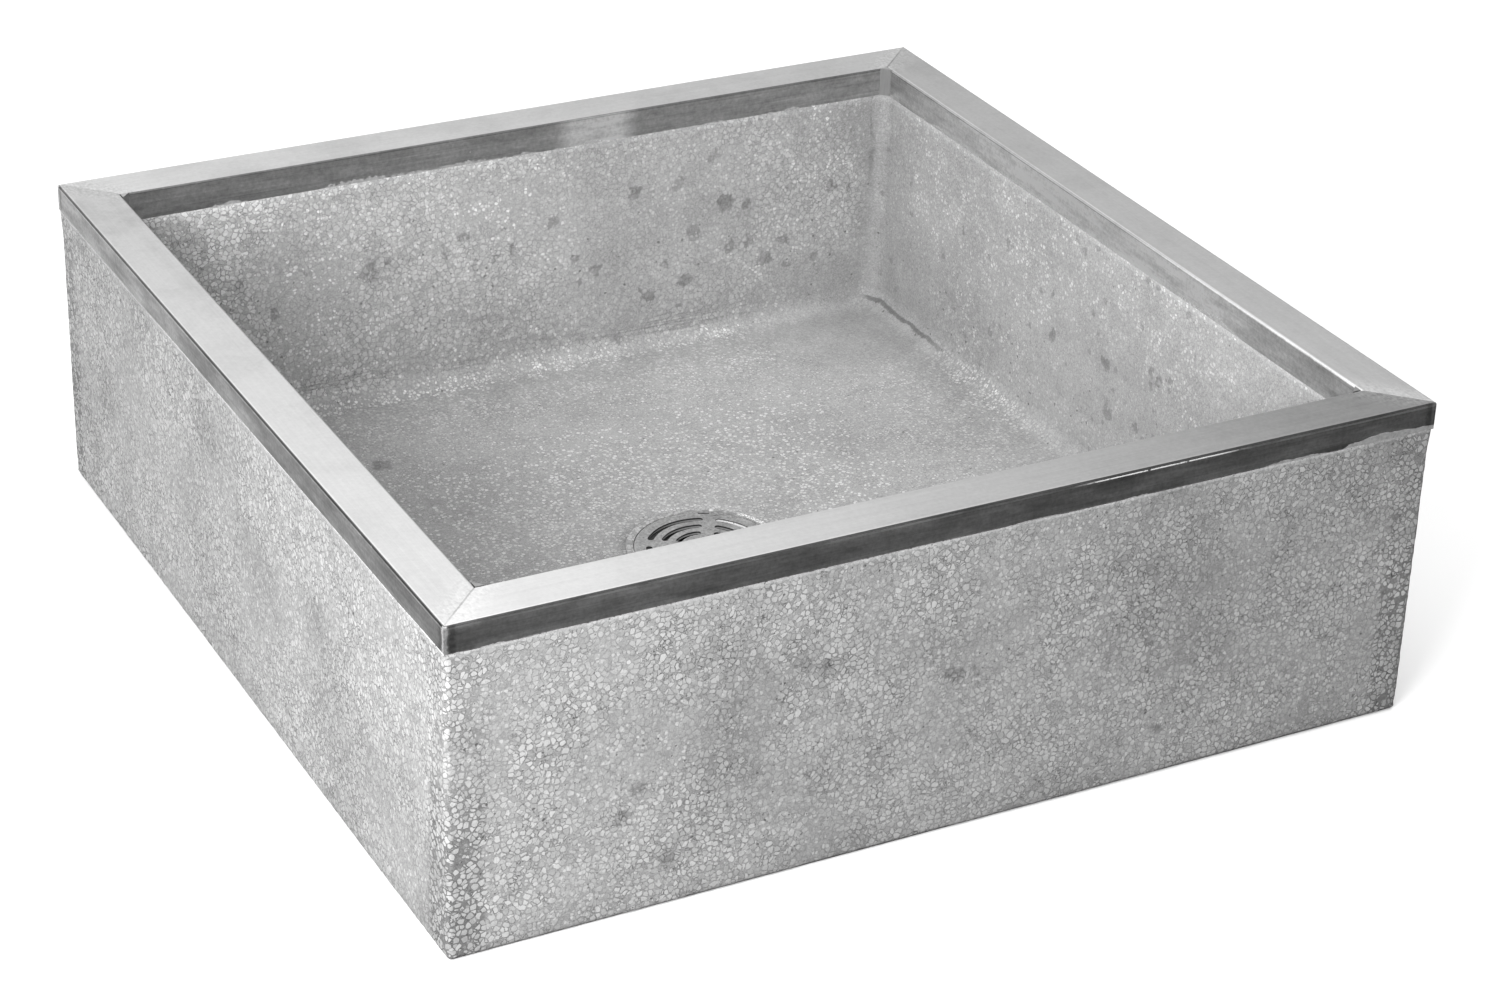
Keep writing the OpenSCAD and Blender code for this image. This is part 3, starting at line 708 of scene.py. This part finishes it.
def strainer_plate():
    """The strainer's dull speckled steel, with painted shade on its slot walls near the top, painted light on
    them at the right, and painted shade on the cement at its front edge.
    """
    material, tree, shader = new_material("strainer_plate")
    at = drain_place(tree)
    line = use_group(tree, BRUSHED, Place=at.place, Along=(500.0, 40.0, 500.0)).outputs["Line"]
    fine = cloud(tree, at.place, 420.0, 4.0, 0.7)
    mottle = cloud(tree, at.place, 60.0, 4.0, 0.6)
    shade = 0.42
    for texture, amount in ((line, 0.16), (fine, 0.80), (mottle, 0.25)):
        shade = varied(tree, shade, texture, amount)
    below = minus(tree, FLOOR_DRAIN, at.z)
    in_slot = times(tree, ramp(tree, below, 0.0001, 0.0003),
                    fall(tree, at.radius, STRAINER_R - 0.0014, STRAINER_R - 0.0010),
                    fall(tree, below, 0.0030, 0.0031))
    # Painted light and shade on the slot walls: dark near the top, pale at the right, darker towards the left.
    to_right = bearing(tree, at, 36.0)
    outer_ring = ramp(tree, at.radius, 0.045, 0.047)
    lit = times(tree, ramp(tree, to_right, 0.90, 0.96), outer_ring, ramp(tree, fine, 0.36, 0.44))
    unlit = blend_number(tree, outer_ring, 0.42, ramp(tree, to_right, -0.6, 0.9, 0.12, 0.40))
    wall = ramp(tree, below, blend_number(tree, lit, 0.0013, 0.0008), blend_number(tree, lit, 0.0022, 0.0013),
                0.03, blend_number(tree, lit, unlit, 0.95))
    shade = blend_number(tree, in_slot, shade, wall)
    # Cement at the plate's edge, with painted shade towards the front where the gap lies in shadow.
    filled = ramp(tree, plus(tree, at.radius, mottle, 0.0016), STRAINER_R - 0.0002, STRAINER_R + 0.0002)
    cement = times(tree, plus(tree, 0.20, fine, 0.34), ramp(tree, at.y, -0.004, 0.012, 0.10, 1.0))
    shade = blend_number(tree, filled, shade, cement)
    wire(tree, shader.inputs["Metallic"], rest_of(tree, most(tree, in_slot, filled)))
    roughness = ramp(tree, mottle, 0.3, 0.7, 0.46, 0.60)
    dress(tree, shader, shade, roughness, plus(tree, line, fine, 0.8), 0.3, 0.0002)
    return material


# Where glints are painted on the drain's lip, on places worn by rubbing: one long place and two flecks, as
# bearings from its middle in degrees.
GLINT, SECOND_GLINT, THIRD_GLINT = 22.0, 48.0, 59.0


def drain_casting():
    """The drain's dull cast flange, with cement left on it, painted glints on its lip's worn places at the back
    right, a painted highlight on the ledge and painted shade under the strainer.
    """
    material, tree, shader = new_material("drain_casting")
    at = drain_place(tree)
    fine = cloud(tree, at.place, 330.0, 4.0, 0.65)
    mottle = cloud(tree, at.place, 70.0, 4.0, 0.6)
    on_flange = times(tree, ramp(tree, at.radius, FLANGE_R - 0.0085, FLANGE_R - 0.0070),
                      ramp(tree, at.z, FLOOR_DRAIN - 0.002, FLOOR_DRAIN - 0.001))
    to_back = plus(tree, times(tree, at.y, 0.44), at.x, 0.9)
    reach = plus(tree, minus(tree, at.radius, ramp(tree, to_back, 0.02, 0.055, 0.0, 0.0045)), mottle, 0.010)
    cement = times(tree, on_flange, ramp(tree, reach, FLANGE_R - 0.0025, FLANGE_R - 0.0015))
    gap_wall = times(tree, on_flange, fall(tree, at.radius, STRAINER_R + 0.0010, STRAINER_R + 0.0014),
                     ramp(tree, at.x, -0.066, -0.060))
    cement = most(tree, cement, gap_wall)

    # Painted glints on the worn places of the lip, and a painted highlight on the ledge under the strainer,
    # seen through its slots.
    main, second, third = (bearing(tree, at, degrees) for degrees in (GLINT, SECOND_GLINT, THIRD_GLINT))
    specks = cloud(tree, at.place, 700.0, 2.0, 0.5)
    small = most(tree, ramp(tree, second, 0.9982, 0.9990), ramp(tree, third, 0.9978, 0.9988))
    wear_and_painted_highlight = most(tree, times(tree, ramp(tree, main, 0.955, 0.965), ramp(tree, specks, 0.49, 0.53)),
                  times(tree, small, ramp(tree, specks, 0.36, 0.42)))
    wear_and_painted_highlight = times(tree, wear_and_painted_highlight, on_flange, ramp(tree, at.radius, FLANGE_R - 0.0055, FLANGE_R - 0.0048))
    under_plate = fall(tree, at.z, FLOOR_DRAIN - 0.0034, FLOOR_DRAIN - 0.0030)
    # A painted highlight on the ledge under the strainer's outer slots, at the right.
    ledge = times(tree, under_plate, ramp(tree, main, 0.90, 0.96), ramp(tree, at.radius, 0.046, 0.048))
    wear_and_painted_highlight = most(tree, wear_and_painted_highlight, times(tree, ledge, 0.65))
    cement = times(tree, cement, rest_of(tree, wear_and_painted_highlight))

    shade = varied(tree, plus(tree, 0.22, mottle, 0.3), fine, 0.5)
    # Painted shade on the casting under the plate, darkest under the outer slots.
    shade = times(tree, shade, plus(tree, 1.0, under_plate, ramp(tree, at.radius, 0.040, 0.048, -0.1, -0.8)))
    shade = blend_number(tree, wear_and_painted_highlight, shade, 0.95)
    flecks = use_group(tree, CHIPS, Place=at.place, **FLECKS)
    set_in = stacked(tree, 0.10, (fine, 0.34), (flecks.outputs["Chip"], 0.18))
    shade = blend_number(tree, cement, shade, set_in)
    roughness = blend_number(tree, wear_and_painted_highlight, ramp(tree, mottle, 0.3, 0.7, 0.38, 0.60), 0.22)
    wire(tree, shader.inputs["Metallic"], rest_of(tree, most(tree, cement, wear_and_painted_highlight)))
    dress(tree, shader, shade, roughness, plus(tree, fine, cement, 1.0), 0.4, 0.0003)
    return material


def moulded_rubber():
    """Black rubber with a bloom of dust."""
    material, tree, shader = new_material("gasket_rubber", Specular_IOR_Level=0.3)
    place = object_place(tree)
    dust = ramp(tree, cloud(tree, place, 60.0, 4.0), 0.4, 0.7)
    wire(tree, shader.inputs["Base Color"], blend(tree, dust, grey(0.018), grey(0.05)))
    wire(tree, shader.inputs["Roughness"], ramp(tree, dust, 0.0, 1.0, 0.55, 0.8))
    return material


# ------------------------------------------------------------------- geometry

# Corner radii of the mesh's rings in metres: at the base, under the caps and where the floor begins.
BASE_CORNER, CAP_CORNER, BED_CORNER = 0.002, 0.0008, 0.001
# How much rounder the base corners are worn, and up to what height.
FOOT_ROUND, FOOT_HEIGHT = 0.009, 0.016
# The chamfer under the caps, the depth of the drain hole's lip, and the height of its lowest ring.
CHAMFER, LIP, THROAT = 0.0015, 0.003, 0.030
# Rings on each stretch of the section.
UNDERSIDE_RINGS, EASE_RINGS, OUTSIDE_RINGS, BOWL_RINGS, COVE_RINGS, FLOOR_RINGS = 5, 6, 90, 30, 10, 30
# Depths of the hand grinding, how far the chipping reaches from an edge, and where the grinding fades out.
WAVE, RIPPLE, CHIPPING = 0.0009, 0.0005, 0.0016
CHIP_REACH = 0.006
FADE = 0.02


def rounded_square(half, radius, side_steps=160, corner_steps=8):
    """Points round a square with rounded corners, anticlockwise from the middle of the right side."""
    flat = half - radius
    points = []
    for turn in range(4):
        quarter = Matrix.Rotation(math.radians(90 * turn), 2)
        side = [Vector((half, flat * (2 * i / side_steps - 1))) for i in range(side_steps)]
        arc = [Vector((flat + radius * math.cos(a), flat + radius * math.sin(a)))
               for a in (math.radians(90 * i / corner_steps) for i in range(corner_steps))]
        points += [quarter @ p for p in side + arc]
    return points


def to_circle(points, radius, share):
    """Moves each point of a ring part of the way to a circle, straight towards the centre."""
    moved = []
    for point in points:
        angle = math.atan2(point.y, point.x)
        moved.append(point.lerp(Vector((radius * math.cos(angle), radius * math.sin(angle))), share))
    return moved


def shell_rings():
    """The basin's section as rings: underside, outside, under the caps, bowl, floor and drain hole."""
    rings = []

    def add(points, z):
        """Lays a ring down at one height."""
        rings.append([(p.x, p.y, z) for p in points])

    base = rounded_square(HALF - EASE, BASE_CORNER)
    for step in range(UNDERSIDE_RINGS + 1):
        add(to_circle(base, HUB_R, 1.0 - step / UNDERSIDE_RINGS), 0.0)
    for step in range(1, EASE_RINGS + 1):
        share = step / EASE_RINGS
        a = math.radians(90 * share)
        corner = BASE_CORNER + (EASE - BASE_CORNER) * share
        add(rounded_square(HALF - EASE + EASE * math.sin(a), corner), EASE - EASE * math.cos(a))
    for step in range(1, OUTSIDE_RINGS + 1):
        z = EASE + (OUTER_LOW - EASE) * step / OUTSIDE_RINGS
        foot = max(0.0, 1.0 - z / FOOT_HEIGHT)
        add(rounded_square(HALF, EASE + FOOT_ROUND * foot * foot), z)
    for side, inward, low in ((HALF, -1, OUTER_LOW), (INNER, 1, INNER_LOW)):
        under = [(side + inward * SHEET, low), (side + inward * SHEET, UNDER_CAP - CHAMFER),
                 (side + inward * (SHEET + CHAMFER), UNDER_CAP)]
        for half, z in under[::-inward]:
            add(rounded_square(half, CAP_CORNER), z)
    for step in range(BOWL_RINGS + 1):
        share = step / BOWL_RINGS
        z = INNER_LOW + (FLOOR_EDGE + COVE - INNER_LOW) * share
        add(rounded_square(INNER - LEAN * share, MOUTH_CORNER + (COVE - MOUTH_CORNER) * share), z)
    flat = INNER - LEAN - COVE
    for step in range(1, COVE_RINGS + 1):
        a = math.radians(90 * step / COVE_RINGS)
        half = flat + COVE * math.cos(a)
        add(rounded_square(half, max(COVE * math.cos(a), BED_CORNER)), FLOOR_EDGE + COVE * (1 - math.sin(a)))
    bed = rounded_square(flat, BED_CORNER)
    for step in range(1, FLOOR_RINGS + 1):
        share = step / FLOOR_RINGS
        add(to_circle(bed, FLANGE_R, share), FLOOR_EDGE + (FLOOR_DRAIN - FLOOR_EDGE) * share)
    add(to_circle(bed, FLANGE_R, 1.0), FLOOR_DRAIN - LIP)
    add(to_circle(bed, HUB_R, 1.0), THROAT)
    return rings


def hand_ground(x, y, z):
    """How far the hand-ground surface lies under the true one, in metres."""
    wave = noise.noise(Vector((x, y, z)) * 5.0) * 0.5 + 0.5
    ripple = noise.noise(Vector((x, y, z)) * 22.0 + Vector((7.1, 3.3, 1.9))) * 0.5 + 0.5
    edge = max(HALF - abs(x), HALF - abs(y))
    low_edge = max(min(HALF - abs(x), HALF - abs(y)), z)
    chipped = max(0.0, 1.0 - min(edge, low_edge) / CHIP_REACH)
    chips = noise.noise(Vector((x, y, z)) * 130.0) * 0.5 + 0.5
    return WAVE * wave + RIPPLE * ripple + CHIPPING * chipped * chips


def terrazzo_shell(material):
    """The cast basin: rings joined round the section, then ground a little uneven by hand."""
    rings = shell_rings()
    count = len(rings[0])
    points = [Vector(p) for ring in rings for p in ring]
    faces = []
    for r in range(len(rings)):
        nxt = (r + 1) % len(rings)
        for i in range(count):
            j = (i + 1) % count
            faces.append((r * count + i, r * count + j, nxt * count + j, nxt * count + i))
    mesh = bpy.data.meshes.new("terrazzo_shell")
    mesh.from_pydata(points, [], faces)
    mesh.update()
    mesh.validate()
    normals = [v.normal.copy() for v in mesh.vertices]
    for vertex, normal in zip(mesh.vertices, normals):
        x, y, z = vertex.co
        radial = math.hypot(x, y)
        under_a_cap = z > INNER_LOW - 0.0005
        if under_a_cap or radial < FLANGE_R + 0.003 or z < 0.0001:
            continue
        fade = min(1.0, max(0.12, (INNER_LOW - z) / FADE)) * min(1.0, (radial - FLANGE_R) / FADE)
        vertex.co -= normal * hand_ground(x, y, z) * fade
    mesh.polygons.foreach_set("use_smooth", [True] * len(mesh.polygons))
    mesh.update()
    piece = bpy.data.objects.new("terrazzo_shell", mesh)
    bpy.context.scene.collection.objects.link(piece)
    piece.data.materials.append(material)
    return piece


def refinish(nodes, material):
    """Gives CAD nodes a better finish."""
    for name in nodes:
        thing = bpy.data.objects[name]
        thing.data.materials.clear()
        thing.data.materials.append(material)


# ---------------------------------------------------------------- the part

shell = terrazzo_shell(terrazzo())
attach(shell, "basin")
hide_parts("basin")

# How finely the brushed lines change along each axis: least along the cap.
ALONG_X = (6.0, 900.0, 900.0)
ALONG_Y = (900.0, 6.0, 900.0)
# Each cap's tones, painted shade slopes, painted reflection and painted fold and edge highlights differ, so the
# four copies of one steel carry painted light and shade as it falls on each cap.
CAPS = {
    "front": dict(along=ALONG_X, tone=0.58, painted_shade_slope=(0.50, 0.0, 0.0), leg_tone=0.56, leg_painted_shade_slope=(0.12, 0.0, 0.0),
                  fold_line=(0.09, 0.27), edge_line=(-0.40, 0.00), edge_shine=0.45,
                  smear=0.018, smear_from=0.372),
    "back": dict(along=ALONG_X, tone=0.53, painted_shade_slope=(0.0, 0.0, 0.0), leg_tone=0.43, leg_painted_shade_slope=(0.0, 0.0, 0.0),
                 painted_reflection=(0.080, 0.050, 0.50), painted_inner_fold_light=(0.45, 0.45), smear=0.026),
    "left": dict(along=ALONG_Y, tone=0.58, painted_shade_slope=(0.0, 0.34, 0.0), leg_tone=0.61, leg_painted_shade_slope=(0.0, -0.49, 0.0),
                 edge_line=(-0.50, 0.20)),
    "right": dict(along=ALONG_Y, tone=0.57, painted_shade_slope=(0.0, 0.24, 0.0),
                  leg_tone=0.65, leg_painted_shade_slope=(0.0, -0.12, 0.0),
                  painted_reflection=(0.02, 0.36, 0.285), painted_inner_fold_light=(1.30, 0.48), smear=0.036),
}
for side, finish in CAPS.items():
    refinish(["cap_" + side], cap_steel("cap_steel_" + side, **finish))
refinish(["filler_front_left", "filler_front_right", "filler_back_left", "filler_back_right"],
         brushed_steel("filler_steel", (500.0, 500.0, 60.0), 0.40, 0.42))
refinish(["strainer"], strainer_plate())
refinish(["drain_body"], drain_casting())
refinish(["strainer_screw_a", "strainer_screw_b"],
         brushed_steel("screw_steel", (900.0, 900.0, 60.0), 0.46, 0.42))
refinish(["anchors_" + side for side in CAPS], brushed_steel("anchor_steel", (60.0, 60.0, 400.0), 0.5, 0.45))
refinish(["mesh_" + side for side in ("floor", *CAPS)],
         brushed_steel("galvanised_wire", (200.0, 200.0, 200.0), 0.5, 0.5))
refinish(["drain_gasket"], moulded_rubber())


# ------------------------------------------------------------ floor and light

FLOOR_HALF = 30.0
# A dark disc under the drain: painted shade for the dark inside of a waste pipe.
DISC_R = 0.97 * HUB_R
DISC_Z = -0.0005
DISC_SIDES = 32


def plain_floor():
    """A pale floor, open under the base so that its underside is lit too, with a dark disc under the drain hole
    as painted shade for the dark inside of a waste pipe.

    What bounces off it on to the basin is dimmer than what the camera sees, as from a floor with a dark cloth
    in front, and its shadows are lifted a little."""
    material, tree, shader = new_material("pale_floor", Roughness=0.9, Specular_IOR_Level=0.1,
                                          Emission_Strength=1.0)
    at = placed(tree)
    to_front = plus(tree, times(tree, at.y, -1.0), at.x, 0.75)
    bounce = neutral(tree, ramp(tree, to_front, -0.3, 0.7, 0.30, 0.04))
    pale = blend(tree, cloud(tree, at.place, 0.4, 2.0), grey(0.88), grey(0.92))
    # Near the middle the colour falls almost to black: the disc's painted shade.
    floor_part = ramp(tree, measured(tree, "LENGTH", at.place), HUB_R, 2 * HUB_R, 0.02, 1.0)
    bounce, pale = (blend(tree, floor_part, grey(0.0), colour) for colour in (bounce, pale))
    seen = tree.nodes.new("ShaderNodeLightPath").outputs["Is Camera Ray"]
    wire(tree, shader.inputs["Base Color"], blend(tree, seen, bounce, pale))
    lifted = blend(tree, times(tree, seen, floor_part), grey(0.0), grey(0.12))
    wire(tree, shader.inputs["Emission Color"], lifted)
    corners = [(sx * half, sy * half, 0.0) for half in (FLOOR_HALF, HALF - 3 * EASE)
               for sx, sy in ((-1, -1), (1, -1), (1, 1), (-1, 1))]
    faces = [(i, (i + 1) % 4, 4 + (i + 1) % 4, 4 + i) for i in range(4)]
    turns = [math.radians(360 * i / DISC_SIDES) for i in range(DISC_SIDES)]
    faces.append(tuple(range(len(corners), len(corners) + DISC_SIDES)))
    corners += [(DISC_R * math.cos(a), DISC_R * math.sin(a), DISC_Z) for a in turns]
    mesh = bpy.data.meshes.new("floor")
    mesh.from_pydata(corners, [], faces)
    floor = bpy.data.objects.new("floor", mesh)
    bpy.context.scene.collection.objects.link(floor)
    mesh.materials.append(material)


def softbox(name, place, target, size, power):
    """A large square light aimed at a point."""
    light = bpy.data.lights.new(name, "AREA")
    light.shape = "RECTANGLE"
    light.size, light.size_y = size
    light.energy = power
    thing = bpy.data.objects.new(name, light)
    thing.location = place
    thing.rotation_euler = (Vector(target) - Vector(place)).to_track_quat("-Z", "Y").to_euler()
    bpy.context.scene.collection.objects.link(thing)


# Bright parts of the surroundings: the direction they lie in, and their strength.
GLOWS = [
    ((0.0, 0.0, 1.0), 2.50), ((-1.0, 0.0, 0.1), 2.28), ((-0.62, -0.74, 0.25), 0.67), ((0.15, -0.97, 0.2), 1.52),
    ((0.45, 0.65, 0.6), 0.34), ((-0.05, 0.95, 0.3), 1.61), ((-0.72, 0.62, 0.3), 0.61), ((0.0, 0.0, -1.0), 1.0),
]
GLOW_WIDTH = 0.38


def studio():
    """White surroundings made of soft glows, with one large light at the left and front."""
    scene = bpy.context.scene
    scene.view_settings.view_transform = "Standard"
    world = bpy.data.worlds.new("studio")
    scene.world = world
    world.use_nodes = True
    tree = world.node_tree
    look = tree.nodes.new("ShaderNodeTexCoord").outputs["Generated"]
    total = 0.0
    for towards, strength in GLOWS:
        away = measured(tree, "DISTANCE", look, Vector(towards).normalized())
        ratio = maths(tree, "DIVIDE", away, GLOW_WIDTH)
        total = plus(tree, total, maths(tree, "EXPONENT", times(tree, ratio, ratio, -0.5)), strength)
    back = tree.nodes["Background"]
    wire(tree, back.inputs["Color"], grey(1.0))
    wire(tree, back.inputs["Strength"], total)
    softbox("left_softbox", (-1.5, -1.4, 1.1), (-0.2, -0.2, 0.1), (1.0, 1.0), 49.4)


def photo_camera():
    """The camera as fitted to the photograph's corners."""
    data = bpy.data.cameras.new("camera")
    data.sensor_width = 36.0
    data.lens = 87.18
    data.clip_end = 100.0
    camera = bpy.data.objects.new("camera", data)
    camera.location = (-1.3699, -2.6197, 1.6578)
    camera.rotation_euler = (1.08231, -0.02862, -0.48008)
    bpy.context.scene.collection.objects.link(camera)
    bpy.context.scene.camera = camera


plain_floor()
studio()
photo_camera()
